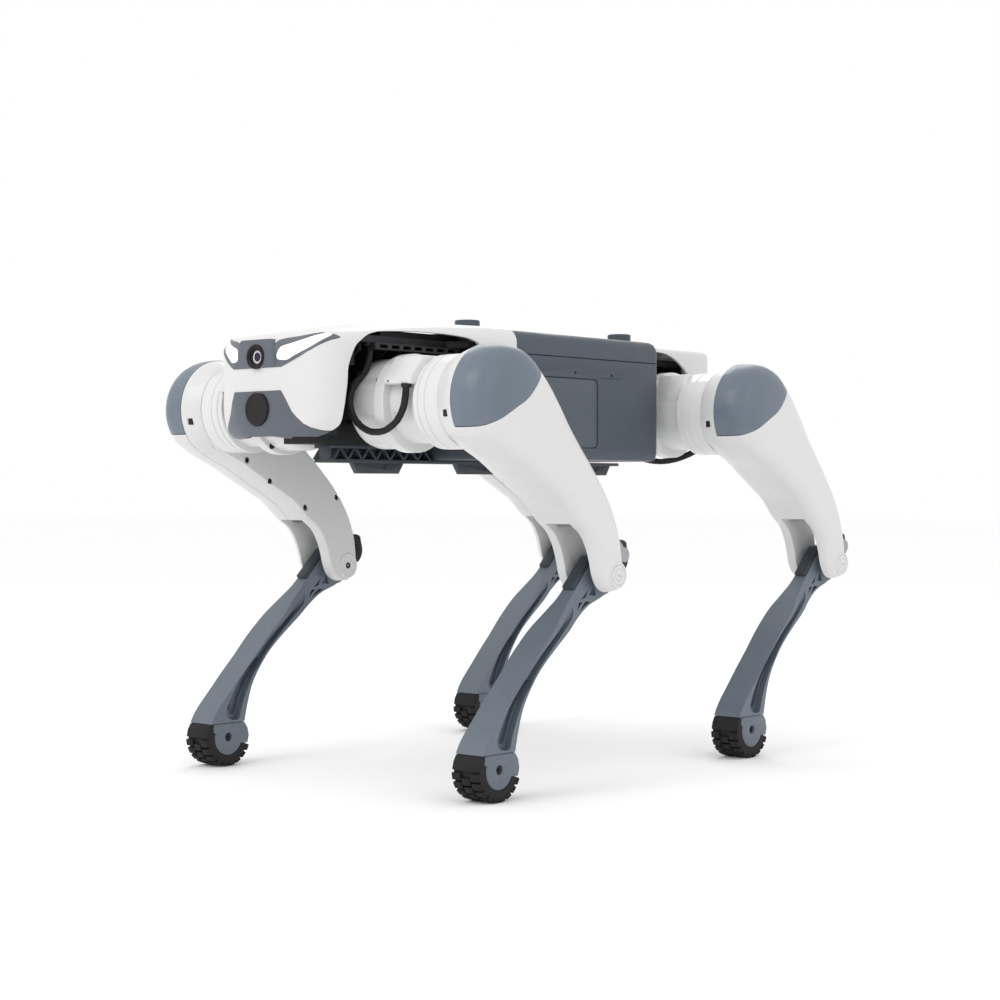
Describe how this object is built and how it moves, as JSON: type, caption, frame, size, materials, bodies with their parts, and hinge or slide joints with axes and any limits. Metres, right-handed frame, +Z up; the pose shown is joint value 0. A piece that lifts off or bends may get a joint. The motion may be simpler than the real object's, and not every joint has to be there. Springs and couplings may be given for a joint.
{
  "type": "quadruped robot dog",
  "caption": "Quadruped robot dog with a shelled trunk, camera head, top payload posts and legs that roll and pitch at the hip and bend at the knee.",
  "frame": {"origin": "on the ground under the middle of the standing robot", "axes": "+X forward, the way the camera looks, +Y to the robot's left, +Z up"},
  "size_m": [0.698, 0.4348, 0.433],
  "materials": {
    "white_shell": "satin",
    "grey_cap": "satin",
    "slate_box": "satin",
    "grey_calf": "satin",
    "belly_plastic": "moulded",
    "frame_metal": "black anodised",
    "motor_metal": "anodised",
    "linkage_metal": "machined",
    "battery_case": "moulded",
    "circuit_board": "solder mask",
    "black_trim": "gloss",
    "light_strip": "translucent",
    "cable_rubber": "satin",
    "tread_rubber": "moulded"
  },
  "bodies": {
    "trunk": {"trunk_chassis": "frame_metal", "abduction_motors": "motor_metal", "battery_pack": "battery_case", "computer_board": "circuit_board", "body_box": "slate_box", "body_lid": "slate_box", "side_covers": "slate_box", "payload_posts": "frame_metal", "front_shell": "white_shell", "nose_guard": "grey_cap", "nose_disc": "black_trim", "visor": "grey_cap", "camera": "black_trim", "headlights": "light_strip", "rear_shell": "white_shell", "belly_frame": "belly_plastic"},
    "front_left_hip": {"front_left_hip_housing": "white_shell", "front_left_hip_motor": "motor_metal", "front_left_hip_cable": "cable_rubber"},
    "front_left_thigh": {"front_left_thigh_inner": "white_shell", "front_left_thigh_outer": "white_shell", "front_left_hip_cap": "grey_cap", "front_left_knee_motor": "motor_metal"},
    "front_left_crank": {"front_left_knee_crank": "linkage_metal"},
    "front_left_rod": {"front_left_knee_rod": "linkage_metal"},
    "front_left_lower_leg": {"front_left_calf": "grey_calf", "front_left_foot": "tread_rubber"},
    "front_right_hip": {"front_right_hip_housing": "white_shell", "front_right_hip_motor": "motor_metal", "front_right_hip_cable": "cable_rubber"},
    "front_right_thigh": {"front_right_thigh_inner": "white_shell", "front_right_thigh_outer": "white_shell", "front_right_hip_cap": "grey_cap", "front_right_knee_motor": "motor_metal"},
    "front_right_crank": {"front_right_knee_crank": "linkage_metal"},
    "front_right_rod": {"front_right_knee_rod": "linkage_metal"},
    "front_right_lower_leg": {"front_right_calf": "grey_calf", "front_right_foot": "tread_rubber"},
    "rear_left_hip": {"rear_left_hip_housing": "white_shell", "rear_left_hip_motor": "motor_metal", "rear_left_hip_cable": "cable_rubber"},
    "rear_left_thigh": {"rear_left_thigh_inner": "white_shell", "rear_left_thigh_outer": "white_shell", "rear_left_hip_cap": "grey_cap", "rear_left_knee_motor": "motor_metal"},
    "rear_left_crank": {"rear_left_knee_crank": "linkage_metal"},
    "rear_left_rod": {"rear_left_knee_rod": "linkage_metal"},
    "rear_left_lower_leg": {"rear_left_calf": "grey_calf", "rear_left_foot": "tread_rubber"},
    "rear_right_hip": {"rear_right_hip_housing": "white_shell", "rear_right_hip_motor": "motor_metal", "rear_right_hip_cable": "cable_rubber"},
    "rear_right_thigh": {"rear_right_thigh_inner": "white_shell", "rear_right_thigh_outer": "white_shell", "rear_right_hip_cap": "grey_cap", "rear_right_knee_motor": "motor_metal"},
    "rear_right_crank": {"rear_right_knee_crank": "linkage_metal"},
    "rear_right_rod": {"rear_right_knee_rod": "linkage_metal"},
    "rear_right_lower_leg": {"rear_right_calf": "grey_calf", "rear_right_foot": "tread_rubber"}
  },
  "joints": [
    {"name": "front_left_roll", "type": "hinge", "parent": "trunk", "child": "front_left_hip", "pos_m": [0.235, 0.071, 0.3503], "axis": [1, 0, 0], "range_deg": [-20, 30], "deforming": ["front_left_hip_cable"]},
    {"name": "front_left_pitch", "type": "hinge", "parent": "front_left_hip", "child": "front_left_thigh", "pos_m": [0.235, 0.1773, 0.3503], "axis": [0, 1, 0], "range_deg": [-40, 50]},
    {"name": "front_left_knee", "type": "hinge", "parent": "front_left_thigh", "child": "front_left_lower_leg", "pos_m": [0.0832, 0.1773, 0.1936], "axis": [0, 1, 0], "range_deg": [-48, 48]},
    {"name": "front_left_crank_turn", "type": "hinge", "parent": "front_left_thigh", "child": "front_left_crank", "pos_m": [0.235, 0.1773, 0.3503], "axis": [0, 1, 0], "range_deg": [-48, 48]},
    {"name": "front_left_rod_turn", "type": "hinge", "parent": "front_left_crank", "child": "front_left_rod", "pos_m": [0.208, 0.1773, 0.368], "axis": [0, 1, 0], "range_deg": [-48, 48]},
    {"name": "front_right_roll", "type": "hinge", "parent": "trunk", "child": "front_right_hip", "pos_m": [0.235, -0.071, 0.3503], "axis": [-1, 0, 0], "range_deg": [-20, 30], "deforming": ["front_right_hip_cable"]},
    {"name": "front_right_pitch", "type": "hinge", "parent": "front_right_hip", "child": "front_right_thigh", "pos_m": [0.235, -0.1773, 0.3503], "axis": [0, 1, 0], "range_deg": [-40, 50]},
    {"name": "front_right_knee", "type": "hinge", "parent": "front_right_thigh", "child": "front_right_lower_leg", "pos_m": [0.0832, -0.1773, 0.1936], "axis": [0, 1, 0], "range_deg": [-48, 48]},
    {"name": "front_right_crank_turn", "type": "hinge", "parent": "front_right_thigh", "child": "front_right_crank", "pos_m": [0.235, -0.1773, 0.3503], "axis": [0, 1, 0], "range_deg": [-48, 48]},
    {"name": "front_right_rod_turn", "type": "hinge", "parent": "front_right_crank", "child": "front_right_rod", "pos_m": [0.208, -0.1773, 0.368], "axis": [0, 1, 0], "range_deg": [-48, 48]},
    {"name": "rear_left_roll", "type": "hinge", "parent": "trunk", "child": "rear_left_hip", "pos_m": [-0.155, 0.071, 0.3503], "axis": [1, 0, 0], "range_deg": [-20, 30], "deforming": ["rear_left_hip_cable"]},
    {"name": "rear_left_pitch", "type": "hinge", "parent": "rear_left_hip", "child": "rear_left_thigh", "pos_m": [-0.155, 0.1773, 0.3503], "axis": [0, 1, 0], "range_deg": [-40, 50]},
    {"name": "rear_left_knee", "type": "hinge", "parent": "rear_left_thigh", "child": "rear_left_lower_leg", "pos_m": [-0.3068, 0.1773, 0.1936], "axis": [0, 1, 0], "range_deg": [-48, 48]},
    {"name": "rear_left_crank_turn", "type": "hinge", "parent": "rear_left_thigh", "child": "rear_left_crank", "pos_m": [-0.155, 0.1773, 0.3503], "axis": [0, 1, 0], "range_deg": [-48, 48]},
    {"name": "rear_left_rod_turn", "type": "hinge", "parent": "rear_left_crank", "child": "rear_left_rod", "pos_m": [-0.182, 0.1773, 0.368], "axis": [0, 1, 0], "range_deg": [-48, 48]},
    {"name": "rear_right_roll", "type": "hinge", "parent": "trunk", "child": "rear_right_hip", "pos_m": [-0.155, -0.071, 0.3503], "axis": [-1, 0, 0], "range_deg": [-20, 30], "deforming": ["rear_right_hip_cable"]},
    {"name": "rear_right_pitch", "type": "hinge", "parent": "rear_right_hip", "child": "rear_right_thigh", "pos_m": [-0.155, -0.1773, 0.3503], "axis": [0, 1, 0], "range_deg": [-40, 50]},
    {"name": "rear_right_knee", "type": "hinge", "parent": "rear_right_thigh", "child": "rear_right_lower_leg", "pos_m": [-0.3068, -0.1773, 0.1936], "axis": [0, 1, 0], "range_deg": [-48, 48]},
    {"name": "rear_right_crank_turn", "type": "hinge", "parent": "rear_right_thigh", "child": "rear_right_crank", "pos_m": [-0.155, -0.1773, 0.3503], "axis": [0, 1, 0], "range_deg": [-48, 48]},
    {"name": "rear_right_rod_turn", "type": "hinge", "parent": "rear_right_crank", "child": "rear_right_rod", "pos_m": [-0.182, -0.1773, 0.368], "axis": [0, 1, 0], "range_deg": [-48, 48]}
  ],
  "couplings": [
    {"joint": "front_left_crank_turn", "follows": "front_left_knee", "ratio": 1},
    {"joint": "front_left_rod_turn", "follows": "front_left_knee", "ratio": -1},
    {"joint": "front_right_crank_turn", "follows": "front_right_knee", "ratio": 1},
    {"joint": "front_right_rod_turn", "follows": "front_right_knee", "ratio": -1},
    {"joint": "rear_left_crank_turn", "follows": "rear_left_knee", "ratio": 1},
    {"joint": "rear_left_rod_turn", "follows": "rear_left_knee", "ratio": -1},
    {"joint": "rear_right_crank_turn", "follows": "rear_right_knee", "ratio": 1},
    {"joint": "rear_right_rod_turn", "follows": "rear_right_knee", "ratio": -1}
  ]
}
